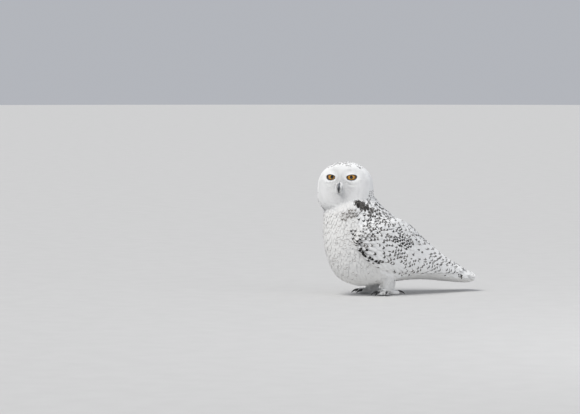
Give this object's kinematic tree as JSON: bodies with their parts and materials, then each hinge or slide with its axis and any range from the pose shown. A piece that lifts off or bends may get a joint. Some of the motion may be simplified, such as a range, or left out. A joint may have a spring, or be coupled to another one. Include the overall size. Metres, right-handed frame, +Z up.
{
  "type": "snowy owl",
  "caption": "White snowy owl with dark barred back and wings, standing at rest with its head turned to its left, as a still display model.",
  "frame": {"origin": "on the ground under the middle of the bird's bounding box", "axes": "+Z up, -Y the way the body faces, +X the bird's left side"},
  "size_m": [0.1968, 0.4754, 0.3745],
  "materials": {
    "white_plumage": "soft white feathers",
    "barred_plumage": "white feathers with dark bars",
    "leg_plumage": "short dense white feathers",
    "eye": "wet amber with a black pupil",
    "horn": "polished black horn"
  },
  "bodies": {
    "root": {"head": "white_plumage", "neck": "barred_plumage", "trunk": "white_plumage", "tail": "barred_plumage", "wing_left": "barred_plumage", "wing_right": "barred_plumage", "eye_left": "eye", "eye_right": "eye", "bill_upper": "horn", "bill_lower": "horn", "claw_left_hind": "horn", "claw_left_inner": "horn", "claw_left_middle": "horn", "claw_left_outer": "horn", "leg_left": "leg_plumage", "foot_left": "leg_plumage", "claw_right_hind": "horn", "claw_right_inner": "horn", "claw_right_middle": "horn", "claw_right_outer": "horn", "leg_right": "leg_plumage", "foot_right": "leg_plumage"}
  },
  "joints": []
}
